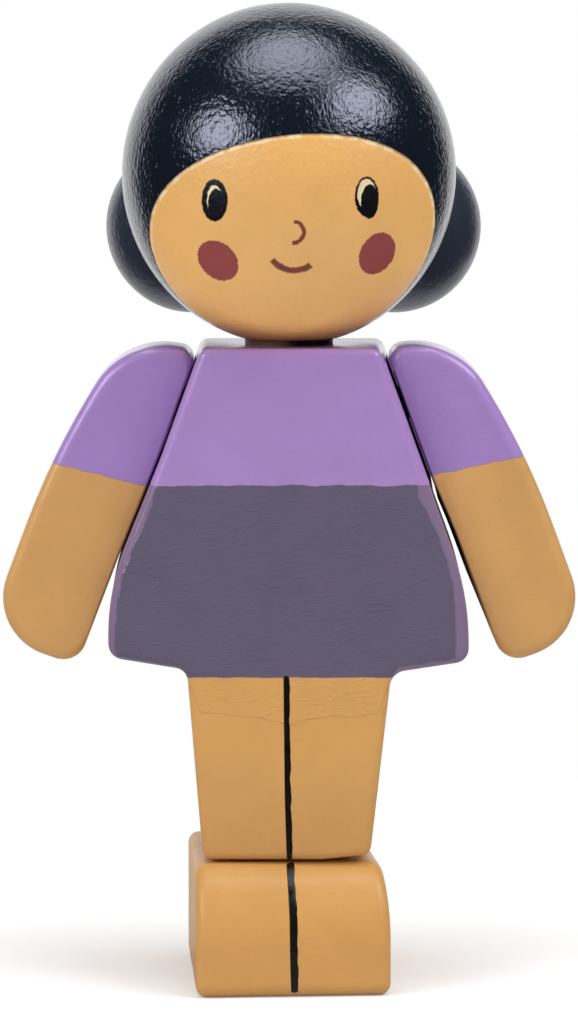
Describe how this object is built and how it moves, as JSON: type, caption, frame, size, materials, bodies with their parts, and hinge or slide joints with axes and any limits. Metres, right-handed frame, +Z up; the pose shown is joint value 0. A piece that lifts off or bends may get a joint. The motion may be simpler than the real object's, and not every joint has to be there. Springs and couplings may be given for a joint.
{
  "type": "wooden dollhouse figure",
  "caption": "Painted wooden dollhouse figure: turned ball head with two hair buns, board-cut torso with flared skirt and legs, arms that swing on pegs, and a one-piece feet block.",
  "frame": {"origin": "on the floor at the sole's flat face, below the neck's axis and at the middle of the body board's thickness", "axes": "+Z up, the face looks along -Y, and +X points to the figure's own left arm"},
  "size_m": [0.0584, 0.0471, 0.1],
  "materials": {
    "hair_lacquer": "gloss blue-black lacquer brushed over beech",
    "hair_and_face_paint": "gloss blue-black lacquer, with a satin tan face and a printed eye, nose, mouth and cheek pattern",
    "dress_and_leg_paint": "satin paint: lilac top, grey-mauve skirt, tan legs with a black brushed line between them",
    "sleeve_and_arm_paint": "satin paint: lilac sleeve above a tan arm",
    "skin_paint": "satin tan paint with a black brushed line between the feet",
    "bare_beech": "bare turned dowel"
  },
  "bodies": {
    "body": {"torso_and_legs": "dress_and_leg_paint", "neck_dowel": "bare_beech", "feet_block": "skin_paint", "foot_dowel_left": "bare_beech", "foot_dowel_right": "bare_beech"},
    "head": {"head": "hair_and_face_paint", "hair_bun_left": "hair_lacquer", "hair_bun_right": "hair_lacquer", "bun_dowel_left": "bare_beech", "bun_dowel_right": "bare_beech"},
    "arm_left": {"arm_left": "sleeve_and_arm_paint", "shoulder_peg_left": "bare_beech"},
    "arm_right": {"arm_right": "sleeve_and_arm_paint", "shoulder_peg_right": "bare_beech"}
  },
  "joints": [
    {"name": "head_turn", "type": "hinge", "parent": "body", "child": "head", "pos_m": [0, 0, 0.0654], "axis": [0, 0, 1], "continuous": true},
    {"name": "arm_left_swing", "type": "hinge", "parent": "body", "child": "arm_left", "pos_m": [0.01152, 0, 0.05924], "axis": [-0.9397, 0, -0.342], "range_deg": [-90, 90]},
    {"name": "arm_right_swing", "type": "hinge", "parent": "body", "child": "arm_right", "pos_m": [-0.01152, 0, 0.05924], "axis": [-0.9397, 0, 0.342], "range_deg": [-90, 90]}
  ]
}
